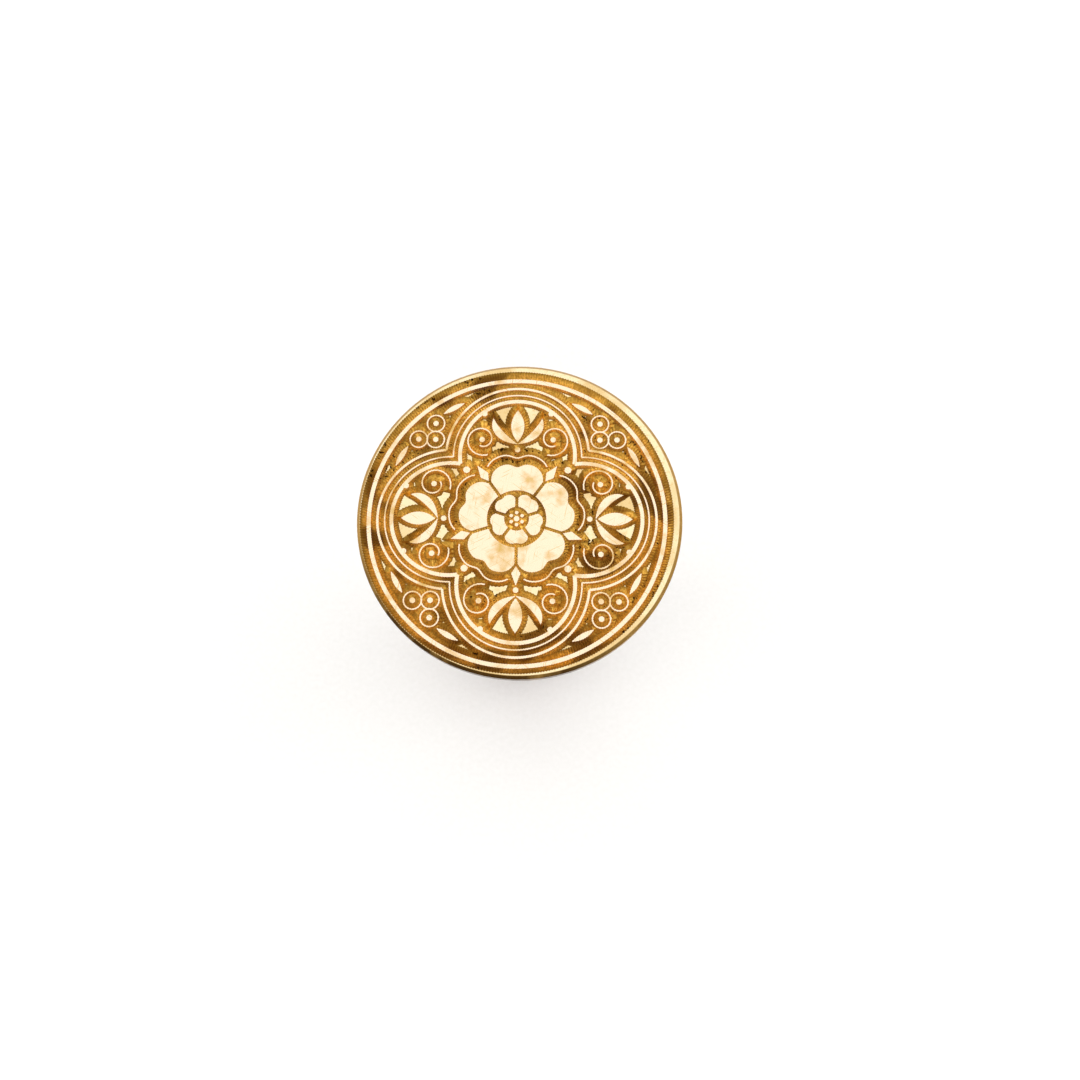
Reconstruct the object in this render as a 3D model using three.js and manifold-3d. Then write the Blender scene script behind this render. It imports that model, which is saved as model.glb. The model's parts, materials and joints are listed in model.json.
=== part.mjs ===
// A hand seal for wax: an engraved brass head that screws onto a short turned wooden grip.
// Millimetres, +Z up. The seal stands on the flat end of its grip with the engraved face up,
// and the origin is the middle of that flat end.

import * as THREE from "three";
import { mergeVertices } from "three/addons/utils/BufferGeometryUtils.js";
import Module from "manifold-3d";

const wasm = await Module();
wasm.setup();

// Clearances
const SEAT_GAP = 0.1; // between flat faces that bear on each other
const FIT_GAP = 0.15; // between a pressed or glued piece and its hole, all round
const THREAD_GAP = 0.22; // between the two threads, square to the axis

// Grip
const GRIP_LENGTH = 40; // from the flat end to the top of the tenon
const GRIP_END_RADIUS = 7;
const GRIP_END_CHAMFER = 0.6;
const BELLY_RADIUS = 8.8;
const BELLY_HEIGHT = 14;
const WAIST_RADIUS = 5.5;
const WAIST_HEIGHT = 28;
const TENON_RADIUS = 5.2;
const TENON_LENGTH = 6;
const BORE_SPARE = 1; // how much deeper the grip's hole is than what goes into it

// Ferrule
const FERRULE_RADIUS = 6.5;
const FERRULE_TOP_WALL = 1.5;
const FERRULE_BEAD = 0.45; // how far the bead at its lower edge stands out
const FERRULE_BEAD_HEIGHT = 1.4;
const FERRULE_EDGE = 0.6; // round at its top edge

// Insert
const INSERT_RADIUS = 3.9;
const INSERT_LENGTH = 11;
const BARBS = 4;
const BARB_DEPTH = 0.35;
const BARB_LIP = 0.25; // short side of a barb, along the insert

// Stud and its thread
const THREAD_RADIUS = 3.5;
const THREAD_PITCH = 1;
const THREAD_DEPTH = 0.6;
const THREAD_FOOT = 0.74; // width of the thread where it leaves the core
const STUD_STAND = 6.8; // how far the stud stands out of the ferrule
const STUD_CHAMFER = 0.6;
const SHANK_RADIUS = 3.1;
const SHANK_LENGTH = 11.5; // from the ferrule's top face down into the insert

// Washer
const WASHER_OUTER_RADIUS = 5.6;
const WASHER_INNER_RADIUS = 3.8;
const WASHER_THICKNESS = 0.8;

// Head
const HEAD_RADIUS = 15;
const HEAD_HEIGHT = 13; // from its seat to the engraved face
const RIM_WALL = 0.8; // straight wall of the rim
const RIM_BEVEL = 0.3; // on the rim's upper edge
const RIM_CHAMFER = 0.4; // on its lower edge
const NECK_RADIUS = 6;
const NECK_LENGTH = 4;
const NECK_CHAMFER = 0.5;
const BORE_DEPTH = 7.4;
const COUNTERSINK = 0.5; // at the mouth of the bore

// Engraving, cut into the face with a cone that is flat at its tip
const ENGRAVING_SHIFT = new THREE.Vector2(-0.24, -0.12); // off the head's axis, as it was set up
const CUT_DEPTH = 0.5;
const WALL_RUN = 0.55; // how far a wall spreads on its way up to the face
const CUT_OVER = 0.1; // how far a cutting shape goes on above the face
const RING_RADIUS = 13.7;
const RING_LINE = 0.38;
const BROAD_LINE = 0.35;
const MEDIUM_LINE = 0.22;
const FINE_LINE = 0.13;

// Lobed frame, made of three lines side by side
const FRAME_LOBES = 4;
const LOBE_DISTANCE = 6.2; // from the middle of the face to the middle of each lobe
const LOBE_RADIUS = 6.7; // of the outermost line
const FRAME_LINES = [
  { inset: 0, width: MEDIUM_LINE },
  { inset: 0.68, width: FINE_LINE },
  { inset: 1.3, width: BROAD_LINE },
];

// Rose. A petal's outer edge falls back by droop at its sides and by notch in its middle.
const ROSE_PETALS = 5;
const PETAL_GAP = 0.3;
const OUTER_PETAL = { inner: 2.75, outer: 5.4, droop: 1.1, notch: 0.4 };
const INNER_PETAL = { inner: 1.15, outer: 2.45, droop: 0.45, notch: 0.12 };
const NOTCH_WIDTH = 0.2; // share of the petal's half width
const HALO_GAP = 0.92; // between the outer petals and the fine line that follows them
const HALO_REACH = 0.84; // share of a petal's width that the line goes along
const SEPAL = { base: 4.5, widest: 5.2, tip: 6.35, halfWidth: 0.42 };
const SEEDS = 6;
const SEED_RADIUS = 0.17;
const SEED_CIRCLE = 0.58;
const MIDDLE_SEED_RADIUS = 0.26;

// Ornament in the lobes. A distance is from the middle of the face along the lobe's direction.
const PEARL_RADIUS = 0.26;
const MIDDLE_LEAF = { base: 7.5, tip: 10.7, halfWidth: 0.62 };
const SIDE_LEAF = { base: 7.3, bend: 8.2, tip: 9.9, spread: 2.3, halfWidth: 0.36 };
const SCROLL = { distance: 7.75, side: 3.35, outer: 1.6, inner: 0.62, start: -160, turn: 400 };
const ROOT_PEARL = 6.75;
const LOBE_PEARL = { distance: 10.35, side: 3.15 };

// Ornament between the lobes
const LOOP_RADIUS = 0.82;
const LOOPS = [
  { distance: 10.95, side: 0 },
  { distance: 12.1, side: 1.12 },
  { distance: 12.1, side: -1.12 },
];
const DAGGER = { radius: 12.5, from: 10.5, to: 21, halfWidth: 0.24 };
const CUSP_PEARL = { distance: 6.7, radius: 0.32 };

// Number of flats or steps that stand for a round shape
const TURNED_SIDES = 40;
const HEAD_SIDES = 48;
const THREAD_SIDES = 12;
const PEARL_SIDES = 6;
const LOOP_SIDES = 8;
const LOBE_STEPS = 10;
const LEAF_STEPS = 4;
const SCROLL_STEPS = 12;
const DAGGER_STEPS = 3;
const OUTER_PETAL_STEPS = 8;
const INNER_PETAL_STEPS = 6;
const PETAL_ROOT_STEPS = 3;
const OGEE_STEPS = 7;
const GRIP_STEPS = 13;
const BEAD_STEPS = 4;
const EDGE_STEPS = 2;

// Heights that follow from the sizes above
const FERRULE_TOP = GRIP_LENGTH + SEAT_GAP + FERRULE_TOP_WALL;
const FERRULE_CEILING = FERRULE_TOP - FERRULE_TOP_WALL;
const FERRULE_BOTTOM = GRIP_LENGTH - TENON_LENGTH + SEAT_GAP;
const INSERT_BOTTOM = GRIP_LENGTH - INSERT_LENGTH;
const SHANK_BOTTOM = FERRULE_TOP - SHANK_LENGTH;
const STUD_TOP = FERRULE_TOP + STUD_STAND;
const WASHER_BOTTOM = FERRULE_TOP + SEAT_GAP;
const WASHER_TOP = WASHER_BOTTOM + WASHER_THICKNESS;
const HEAD_SEAT = WASHER_TOP + SEAT_GAP;
const FACE = HEAD_SEAT + HEAD_HEIGHT;

const OVERSHOOT = 1; // how far a cutting shape reaches past what it cuts
const MIDDLE = new THREE.Vector2(0, 0);

const MATERIALS = {
  engravedBrass: new THREE.MeshStandardMaterial({
    color: 0xe0b45c,
    roughness: 0.28,
    metalness: 1,
  }),
  turnedBrass: new THREE.MeshStandardMaterial({ color: 0xc99a45, roughness: 0.35, metalness: 1 }),
  steel: new THREE.MeshStandardMaterial({ color: 0xb9bcc0, roughness: 0.3, metalness: 1 }),
  rosewood: new THREE.MeshStandardMaterial({ color: 0x6b2f1c, roughness: 0.4, metalness: 0 }),
  fibre: new THREE.MeshStandardMaterial({ color: 0x9c3b26, roughness: 0.8, metalness: 0 }),
};

// Solids

function toSolid(geometry) {
  const bare = geometry.clone();
  bare.deleteAttribute("normal");
  bare.deleteAttribute("uv");
  const merged = mergeVertices(bare, 1e-5);
  return new wasm.Manifold(
    new wasm.Mesh({
      numProp: 3,
      vertProperties: new Float32Array(merged.attributes.position.array),
      triVerts: new Uint32Array(merged.index.array),
    }),
  );
}

function toGeometry(solid) {
  const mesh = solid.getMesh();
  const geometry = new THREE.BufferGeometry();
  geometry.setAttribute("position", new THREE.BufferAttribute(mesh.vertProperties, 3));
  geometry.setIndex(new THREE.BufferAttribute(mesh.triVerts, 1));
  const flat = geometry.toNonIndexed();
  flat.computeVertexNormals();
  return flat;
}

// A closed geometry from its corners [x, y, z] and its triangles.
function closedGeometry(corners, triangles) {
  const geometry = new THREE.BufferGeometry();
  geometry.setAttribute("position", new THREE.Float32BufferAttribute(corners.flat(), 3));
  geometry.setIndex(triangles.flat());
  return geometry;
}

// A shape turned about the Z axis. Its profile holds [radius, height] pairs, with the outside on the
// right as it is followed.
function turned(profile, sides) {
  const points = profile.map(([radius, height]) => new THREE.Vector2(radius, height));
  return new THREE.LatheGeometry(points, sides).rotateX(Math.PI / 2);
}

// A quarter round at the upper outer edge of a profile.
function upperEdge(outerRadius, top, round) {
  const points = [];
  for (let i = 0; i <= EDGE_STEPS; i++) {
    const angle = (Math.PI / 2) * (i / EDGE_STEPS);
    points.push([
      outerRadius - round + round * Math.cos(angle),
      top - round + round * Math.sin(angle),
    ]);
  }
  return points;
}

// Cuts of the engraving

function polar(radius, degrees) {
  const angle = THREE.MathUtils.degToRad(degrees);
  return new THREE.Vector2(radius * Math.cos(angle), radius * Math.sin(angle));
}

// A point by its distance along a direction and its distance to the left of it.
function along(distance, side, degrees) {
  return new THREE.Vector2(distance, side).rotateAround(MIDDLE, THREE.MathUtils.degToRad(degrees));
}

// The top of the sloped wall that starts at each corner of a cut's floor. The loop round a floor has
// the floor on its left. Where a wall runs into a hollow bend, its top stays short of the bend's middle.
function wallTop(loop, reach) {
  const SHORT_OF_BEND = 0.9;
  const LONGEST_MITRE = 1.6;
  return loop.map((corner, i) => {
    const before = loop[(i + loop.length - 1) % loop.length];
    const after = loop[(i + 1) % loop.length];
    const wayIn = corner.clone().sub(before);
    const wayOut = after.clone().sub(corner);
    const turn = Math.atan2(wayIn.cross(wayOut), wayIn.dot(wayOut));
    const step = (wayIn.length() + wayOut.length()) / 2;
    const bendRadius = turn < 0 ? -step / turn : Infinity;
    const outOfIn = new THREE.Vector2(wayIn.y, -wayIn.x).normalize();
    const outOfOut = new THREE.Vector2(wayOut.y, -wayOut.x).normalize();
    const mitre = outOfIn.add(outOfOut);
    mitre.multiplyScalar(2 / mitre.lengthSq()).clampLength(0, LONGEST_MITRE);
    return corner.clone().addScaledVector(mitre, Math.min(reach, SHORT_OF_BEND * bendRadius));
  });
}

// What a cut takes away: a floor bounded by loops, the first one outside and the rest islands in it,
// with sloped walls all round that go up past the face, which is at height 0.
function cut(loops) {
  const height = CUT_DEPTH + CUT_OVER;
  const floor = loops.flat();
  const top = loops.flatMap((loop) => wallTop(loop, (WALL_RUN * height) / CUT_DEPTH));
  const corners = [
    ...floor.map((point) => [point.x, point.y, -CUT_DEPTH]),
    ...top.map((point) => [point.x, point.y, CUT_OVER]),
  ];
  const up = floor.length;
  const triangles = [];
  for (const [a, b, c] of THREE.ShapeUtils.triangulateShape(loops[0], loops.slice(1))) {
    triangles.push([a, c, b]);
    triangles.push([up + a, up + b, up + c]);
  }
  let first = 0;
  for (const loop of loops) {
    for (let i = 0; i < loop.length; i++) {
      const a = first + i;
      const b = first + ((i + 1) % loop.length);
      triangles.push([a, b, up + a]);
      triangles.push([b, up + b, up + a]);
    }
    first += loop.length;
  }
  return toSolid(closedGeometry(corners, triangles));
}

// A cut along a row of points. Its half width follows from the share of the way along.
function tapered(points, halfWidth) {
  const left = [];
  const right = [];
  points.forEach((point, i) => {
    const before = points[Math.max(i - 1, 0)];
    const after = points[Math.min(i + 1, points.length - 1)];
    const way = after.clone().sub(before).normalize();
    const toLeft = new THREE.Vector2(-way.y, way.x);
    const half = halfWidth(i / (points.length - 1));
    left.unshift(point.clone().addScaledVector(toLeft, half));
    if (half > 0) right.push(point.clone().addScaledVector(toLeft, -half));
  });
  return cut([[...right, ...left]]);
}

function line(points, width) {
  return tapered(points, () => width / 2);
}

// The half width of a leaf that is widest in its middle and comes to a point at both ends.
function lens(halfWidth) {
  return (share) => 4 * halfWidth * share * (1 - share);
}

function leaf(base, bend, tip, halfWidth) {
  const rib = new THREE.QuadraticBezierCurve(base, bend, tip).getPoints(LEAF_STEPS);
  return tapered(rib, lens(halfWidth));
}

// Points on an arc round a centre, from one angle to another in degrees.
function arcPoints(centre, radius, from, to, steps) {
  const points = [];
  for (let i = 0; i <= steps; i++) {
    const angle = from + ((to - from) * i) / steps;
    points.push(polar(radius, angle).add(centre));
  }
  return points;
}

function circle(centre, radius, sides) {
  return arcPoints(centre, radius, 0, 360, sides).slice(1);
}

// A line cut round a circle.
function hoop(centre, radius, width, sides) {
  const outside = circle(centre, radius + width / 2, sides);
  const inside = circle(centre, radius - width / 2, sides);
  return cut([outside, inside.reverse()]);
}

function pearl(centre, radius) {
  return cut([circle(centre, radius, PEARL_SIDES)]);
}

// How far round its lobe a line of the frame goes, in degrees each way, until it meets the next one.
function lobeReach(radius) {
  const half = Math.PI / FRAME_LOBES;
  return THREE.MathUtils.radToDeg(half + Math.asin((LOBE_DISTANCE * Math.sin(half)) / radius));
}

function frameLobe(direction) {
  const middle = polar(LOBE_DISTANCE, direction);
  return FRAME_LINES.map(({ inset, width }) => {
    const radius = LOBE_RADIUS - inset;
    const reach = lobeReach(radius);
    const points = arcPoints(middle, radius, direction - reach, direction + reach, LOBE_STEPS);
    return line(points, width);
  });
}

// Half the angle between a petal's sides, in degrees, at a distance from the middle.
function petalHalfAngle(radius) {
  return 180 / ROSE_PETALS - THREE.MathUtils.radToDeg(PETAL_GAP / 2 / radius);
}

// Points along a petal's outer edge, or a gap outside it, over a share of its width.
function petalEdge({ outer, droop, notch }, direction, steps, reach = 1, gap = 0) {
  const points = [];
  for (let i = 0; i <= steps; i++) {
    const across = reach * ((2 * i) / steps - 1);
    const dip = notch * Math.exp(-((across / NOTCH_WIDTH) ** 2));
    const radius = outer - droop * across ** 4 - dip;
    points.push(polar(radius + gap, direction + across * petalHalfAngle(radius)));
  }
  return points;
}

function petal(shape, direction, steps) {
  const half = petalHalfAngle(shape.inner);
  const root = arcPoints(MIDDLE, shape.inner, direction + half, direction - half, PETAL_ROOT_STEPS);
  return cut([[...petalEdge(shape, direction, steps), ...root]]);
}

function sepal(direction) {
  const { base, widest, tip, halfWidth } = SEPAL;
  const corners = [
    [base, 0],
    [widest, -halfWidth],
    [tip, 0],
    [widest, halfWidth],
  ];
  return cut([corners.map(([distance, side]) => along(distance, side, direction))]);
}

function rose() {
  const UPRIGHT = 90;
  const parts = [pearl(MIDDLE, MIDDLE_SEED_RADIUS)];
  for (let k = 0; k < ROSE_PETALS; k++) {
    const direction = UPRIGHT + (360 * k) / ROSE_PETALS;
    const between = direction + 180 / ROSE_PETALS;
    const halo = petalEdge(OUTER_PETAL, direction, OUTER_PETAL_STEPS, HALO_REACH, HALO_GAP);
    parts.push(line(halo, FINE_LINE));
    parts.push(petal(OUTER_PETAL, direction, OUTER_PETAL_STEPS));
    parts.push(petal(INNER_PETAL, between, INNER_PETAL_STEPS));
    parts.push(sepal(between));
  }
  for (let k = 0; k < SEEDS; k++) {
    parts.push(pearl(polar(SEED_CIRCLE, UPRIGHT + (360 * k) / SEEDS), SEED_RADIUS));
  }
  return parts;
}

// A fine line that winds in round a pearl, on the left of a lobe's direction or on the right. Its turns
// run into one another, so it is cut in short stretches.
function scroll(direction, side) {
  const STRETCH = 3;
  const middle = along(SCROLL.distance, side * SCROLL.side, direction);
  const points = [];
  for (let i = 0; i <= SCROLL_STEPS; i++) {
    const share = i / SCROLL_STEPS;
    const radius = THREE.MathUtils.lerp(SCROLL.outer, SCROLL.inner, share);
    const angle = direction + side * (SCROLL.start - SCROLL.turn * share);
    points.push(polar(radius, angle).add(middle));
  }
  const parts = [pearl(middle, PEARL_RADIUS)];
  for (let i = 0; i < SCROLL_STEPS; i += STRETCH) {
    parts.push(line(points.slice(i, i + STRETCH + 1), FINE_LINE));
  }
  return parts;
}

function lobeOrnament(direction) {
  const place = (distance, side) => along(distance, side, direction);
  const { base, tip, halfWidth } = MIDDLE_LEAF;
  const parts = [
    leaf(place(base, 0), place((base + tip) / 2, 0), place(tip, 0), halfWidth),
    pearl(place(ROOT_PEARL, 0), PEARL_RADIUS),
  ];
  for (const side of [1, -1]) {
    const root = place(SIDE_LEAF.base, 0);
    const bend = place(SIDE_LEAF.bend, side * SIDE_LEAF.spread);
    const end = place(SIDE_LEAF.tip, side * SIDE_LEAF.spread);
    parts.push(leaf(root, bend, end, SIDE_LEAF.halfWidth));
    parts.push(...scroll(direction, side));
    parts.push(pearl(place(LOBE_PEARL.distance, side * LOBE_PEARL.side), PEARL_RADIUS));
  }
  return parts;
}

function spandrelOrnament(direction) {
  const parts = [pearl(polar(CUSP_PEARL.distance, direction), CUSP_PEARL.radius)];
  for (const { distance, side } of LOOPS) {
    const middle = along(distance, side, direction);
    parts.push(hoop(middle, LOOP_RADIUS, FINE_LINE, LOOP_SIDES));
    parts.push(pearl(middle, PEARL_RADIUS));
  }
  for (const side of [1, -1]) {
    const from = direction + side * DAGGER.from;
    const to = direction + side * DAGGER.to;
    const rib = arcPoints(MIDDLE, DAGGER.radius, from, to, DAGGER_STEPS);
    parts.push(tapered(rib, lens(DAGGER.halfWidth)));
  }
  return parts;
}

function engraving() {
  const parts = [hoop(MIDDLE, RING_RADIUS, RING_LINE, HEAD_SIDES), ...rose()];
  for (let k = 0; k < FRAME_LOBES; k++) {
    const direction = (360 * k) / FRAME_LOBES;
    parts.push(...frameLobe(direction));
    parts.push(...lobeOrnament(direction));
    parts.push(...spandrelOrnament(direction + 180 / FRAME_LOBES));
  }
  return wasm.Manifold.union(parts).translate([ENGRAVING_SHIFT.x, ENGRAVING_SHIFT.y, FACE]);
}

// Pieces

// A right-hand thread on its core. The hole for it is cut by the same shape, grown by a gap.
function threaded(bottom, top, gap) {
  const BURIED = 0.1; // how far the thread's foot lies inside the core
  const crest = THREAD_RADIUS + gap;
  const core = crest - THREAD_DEPTH;
  const halfFoot = ((THREAD_FOOT + gap) / 2) * (1 + BURIED / THREAD_DEPTH);
  const section = [
    [core - BURIED, -halfFoot],
    [crest, 0],
    [core - BURIED, halfFoot],
  ];
  const sides = section.length;
  const startTurn = Math.floor(bottom / THREAD_PITCH) - 1;
  const endTurn = Math.ceil(top / THREAD_PITCH) + 1;
  const steps = (endTurn - startTurn) * THREAD_SIDES;
  const corners = [];
  const triangles = [];
  for (let i = 0; i <= steps; i++) {
    const angle = (2 * Math.PI * i) / THREAD_SIDES;
    const height = (startTurn + i / THREAD_SIDES) * THREAD_PITCH;
    for (const [radius, rise] of section) {
      corners.push([radius * Math.cos(angle), radius * Math.sin(angle), height + rise]);
    }
  }
  for (let i = 0; i < steps * sides; i++) {
    const next = i % sides === sides - 1 ? i + 1 - sides : i + 1;
    triangles.push([i, i + sides, next]);
    triangles.push([next, i + sides, next + sides]);
  }
  const last = steps * sides;
  triangles.push([0, 1, 2]);
  triangles.push([last, last + 2, last + 1]);
  const bar = (radius) =>
    toSolid(turned([[0, bottom], [radius, bottom], [radius, top], [0, top]], THREAD_SIDES));
  const helix = toSolid(closedGeometry(corners, triangles));
  return helix.add(bar(core)).intersect(bar(crest + OVERSHOOT));
}

// The head's underside swings from the neck out to the rim and meets both upright.
function headUnderside(bottom, top, outerRadius) {
  const points = [];
  for (let i = 0; i <= OGEE_STEPS; i++) {
    const share = i / OGEE_STEPS;
    const out = (1 - Math.cos(Math.PI * share)) / 2;
    points.push([
      THREE.MathUtils.lerp(NECK_RADIUS, outerRadius, out),
      THREE.MathUtils.lerp(bottom, top, share),
    ]);
  }
  return points;
}

function sealHead() {
  const rimBottom = FACE - RIM_BEVEL - RIM_WALL;
  const undersideTop = rimBottom - RIM_CHAMFER;
  const profile = [
    [0, HEAD_SEAT],
    [NECK_RADIUS - NECK_CHAMFER, HEAD_SEAT],
    [NECK_RADIUS, HEAD_SEAT + NECK_CHAMFER],
    ...headUnderside(HEAD_SEAT + NECK_LENGTH, undersideTop, HEAD_RADIUS - RIM_CHAMFER),
    [HEAD_RADIUS, rimBottom],
    [HEAD_RADIUS, FACE - RIM_BEVEL],
    [HEAD_RADIUS - RIM_BEVEL, FACE],
    [0, FACE],
  ];
  const mouth = THREAD_RADIUS + THREAD_GAP + COUNTERSINK;
  const countersink = [
    [0, HEAD_SEAT - OVERSHOOT],
    [mouth + OVERSHOOT, HEAD_SEAT - OVERSHOOT],
    [mouth - COUNTERSINK, HEAD_SEAT + COUNTERSINK],
    [0, HEAD_SEAT + COUNTERSINK],
  ];
  const bore = threaded(HEAD_SEAT - OVERSHOOT, HEAD_SEAT + BORE_DEPTH, THREAD_GAP);
  const head = toSolid(turned(profile, HEAD_SIDES))
    .subtract(engraving())
    .subtract(bore)
    .subtract(toSolid(turned(countersink, TURNED_SIDES)));
  // Slivers that the cutter sets free fall away.
  const [largest] = head.decompose().sort((a, b) => b.volume() - a.volume());
  return toGeometry(largest);
}

// A flat ring.
function washer() {
  const profile = [
    [WASHER_INNER_RADIUS, WASHER_BOTTOM],
    [WASHER_OUTER_RADIUS, WASHER_BOTTOM],
    [WASHER_OUTER_RADIUS, WASHER_TOP],
    [WASHER_INNER_RADIUS, WASHER_TOP],
    [WASHER_INNER_RADIUS, WASHER_BOTTOM],
  ];
  return turned(profile, TURNED_SIDES);
}

function ferrule() {
  const tenonHole = TENON_RADIUS + FIT_GAP;
  const studHole = THREAD_RADIUS + FIT_GAP;
  const bead = [];
  for (let i = 0; i <= BEAD_STEPS; i++) {
    const share = i / BEAD_STEPS;
    bead.push([
      FERRULE_RADIUS + FERRULE_BEAD * Math.sin(Math.PI * share),
      FERRULE_BOTTOM + FERRULE_BEAD_HEIGHT * share,
    ]);
  }
  const profile = [
    [studHole, FERRULE_TOP],
    [studHole, FERRULE_CEILING],
    [tenonHole, FERRULE_CEILING],
    [tenonHole, FERRULE_BOTTOM],
    ...bead,
    ...upperEdge(FERRULE_RADIUS, FERRULE_TOP, FERRULE_EDGE),
    [studHole, FERRULE_TOP],
  ];
  return turned(profile, TURNED_SIDES);
}

function insert() {
  const bore = SHANK_RADIUS + FIT_GAP;
  const pitch = INSERT_LENGTH / BARBS;
  const barbs = [];
  for (let i = 0; i < BARBS; i++) {
    const start = INSERT_BOTTOM + i * pitch;
    barbs.push([INSERT_RADIUS - BARB_DEPTH, start]);
    barbs.push([INSERT_RADIUS, start + pitch - BARB_LIP]);
  }
  const profile = [
    [bore, INSERT_BOTTOM],
    ...barbs,
    [INSERT_RADIUS, GRIP_LENGTH],
    [bore, GRIP_LENGTH],
    [bore, INSERT_BOTTOM],
  ];
  return turned(profile, TURNED_SIDES);
}

function stud() {
  const shank = [
    [0, SHANK_BOTTOM],
    [SHANK_RADIUS - STUD_CHAMFER, SHANK_BOTTOM],
    [SHANK_RADIUS, SHANK_BOTTOM + STUD_CHAMFER],
    [SHANK_RADIUS, FERRULE_CEILING],
    [0, FERRULE_CEILING],
  ];
  // Keeps what lies inside a cone that chamfers the thread's end.
  const point = [
    [0, SHANK_BOTTOM - OVERSHOOT],
    [THREAD_RADIUS + OVERSHOOT, SHANK_BOTTOM - OVERSHOOT],
    [THREAD_RADIUS + OVERSHOOT, STUD_TOP - STUD_CHAMFER - OVERSHOOT],
    [THREAD_RADIUS - STUD_CHAMFER, STUD_TOP],
    [0, STUD_TOP],
  ];
  return toGeometry(
    threaded(FERRULE_CEILING - SEAT_GAP, STUD_TOP, 0)
      .add(toSolid(turned(shank, TURNED_SIDES)))
      .intersect(toSolid(turned(point, TURNED_SIDES))),
  );
}

function grip() {
  const shoulder = GRIP_LENGTH - TENON_LENGTH;
  const outline = new THREE.SplineCurve([
    new THREE.Vector2(GRIP_END_RADIUS, GRIP_END_CHAMFER),
    new THREE.Vector2(BELLY_RADIUS, BELLY_HEIGHT),
    new THREE.Vector2(WAIST_RADIUS, WAIST_HEIGHT),
    new THREE.Vector2(FERRULE_RADIUS, shoulder),
  ]).getPoints(GRIP_STEPS);
  const bore = INSERT_RADIUS + FIT_GAP;
  const boreBottom = Math.min(INSERT_BOTTOM, SHANK_BOTTOM) - BORE_SPARE;
  const profile = [
    [0, 0],
    [GRIP_END_RADIUS - GRIP_END_CHAMFER, 0],
    ...outline.map((point) => [point.x, point.y]),
    [TENON_RADIUS, shoulder],
    [TENON_RADIUS, GRIP_LENGTH],
    [bore, GRIP_LENGTH],
    [bore, boreBottom],
    [0, boreBottom],
  ];
  return turned(profile, TURNED_SIDES);
}

function piece(name, geometry, material) {
  const mesh = new THREE.Mesh(geometry, material);
  mesh.name = name;
  return mesh;
}

const handle = new THREE.Group();
handle.add(
  piece("grip", grip(), MATERIALS.rosewood),
  piece("ferrule", ferrule(), MATERIALS.turnedBrass),
  piece("insert", insert(), MATERIALS.turnedBrass),
  piece("stud", stud(), MATERIALS.steel),
);

const seal = new THREE.Group();
seal.add(handle);
seal.add(piece("washer", washer(), MATERIALS.fibre));
seal.add(piece("seal_head", sealHead(), MATERIALS.engravedBrass));

export default seal;
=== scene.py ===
# A hand seal for wax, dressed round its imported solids: an engraved brass head on a turned wooden grip.
# Sizes are in millimetres until a mesh is made. Points of the engraving are complex numbers, with X as
# the real part and Y as the imaginary one.

import json
import math

import bpy
import numpy as np
from mathutils import Matrix, Vector

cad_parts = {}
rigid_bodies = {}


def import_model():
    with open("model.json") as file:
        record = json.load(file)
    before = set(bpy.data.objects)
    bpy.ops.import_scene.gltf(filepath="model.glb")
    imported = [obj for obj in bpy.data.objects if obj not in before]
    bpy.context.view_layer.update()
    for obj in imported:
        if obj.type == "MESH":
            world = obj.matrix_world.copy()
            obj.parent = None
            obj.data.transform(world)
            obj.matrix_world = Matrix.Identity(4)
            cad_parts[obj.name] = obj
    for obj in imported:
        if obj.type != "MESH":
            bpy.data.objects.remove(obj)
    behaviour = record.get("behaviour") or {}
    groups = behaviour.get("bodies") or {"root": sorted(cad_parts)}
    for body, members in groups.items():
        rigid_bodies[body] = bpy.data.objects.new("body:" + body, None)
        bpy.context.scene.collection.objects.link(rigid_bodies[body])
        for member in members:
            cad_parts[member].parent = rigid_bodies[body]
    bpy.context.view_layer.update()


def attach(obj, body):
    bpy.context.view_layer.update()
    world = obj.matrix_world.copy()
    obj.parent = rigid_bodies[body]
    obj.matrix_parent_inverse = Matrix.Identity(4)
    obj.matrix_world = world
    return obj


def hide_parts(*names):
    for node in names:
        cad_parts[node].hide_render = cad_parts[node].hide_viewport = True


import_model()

bl_info = {
    "name": "Wax seal",
    "version": (1, 0, 0),
    "blender": (4, 5, 0),
    "location": "View3D > Sidebar > Seal",
    "description": "Builds an engraved brass wax seal on a turned wooden grip",
    "category": "Add Mesh",
}

MM = 0.001
WAVES_PER_UNIT = 20 / (2 * math.pi)  # that a wave texture draws at scale 1
MIDDLE = 0j
OVERSHOOT = 1.0  # how far a cutting shape reaches past what it cuts
SHADED_RIM_DIRECTION = (-0.34, -0.94, 0)  # from the axis to the side of the rim, towards the camera, that gets a band of painted shade

# Sizes of the solids that these pieces stand for
GRIP_LENGTH = 40.0
GRIP_END_RADIUS = 7.0
GRIP_END_CHAMFER = 0.6
BELLY_RADIUS = 8.8
BELLY_HEIGHT = 14.0
WAIST_RADIUS = 5.5
WAIST_HEIGHT = 28.0
TENON_RADIUS = 5.2
TENON_LENGTH = 6.0
GRIP_SHOULDER = GRIP_LENGTH - TENON_LENGTH
GRIP_BORE_RADIUS = 4.05
GRIP_BORE_BOTTOM = 28.0
FERRULE_RADIUS = 6.5
FERRULE_BOTTOM = 34.1
FERRULE_TOP = 41.6
FERRULE_TOP_WALL = 1.5
FERRULE_CEILING = FERRULE_TOP - FERRULE_TOP_WALL
FERRULE_BEAD = 0.45
FERRULE_BEAD_HEIGHT = 1.4
FERRULE_EDGE = 0.6
FERRULE_BORE_RADIUS = 5.35
STUD_HOLE_RADIUS = 3.65
INSERT_RADIUS = 3.9
INSERT_LENGTH = 11.0
INSERT_BORE_RADIUS = 3.25
BARBS = 4
BARB_DEPTH = 0.35
BARB_LIP = 0.25
THREAD_RADIUS = 3.5
THREAD_PITCH = 1.0
THREAD_DEPTH = 0.6
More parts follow.
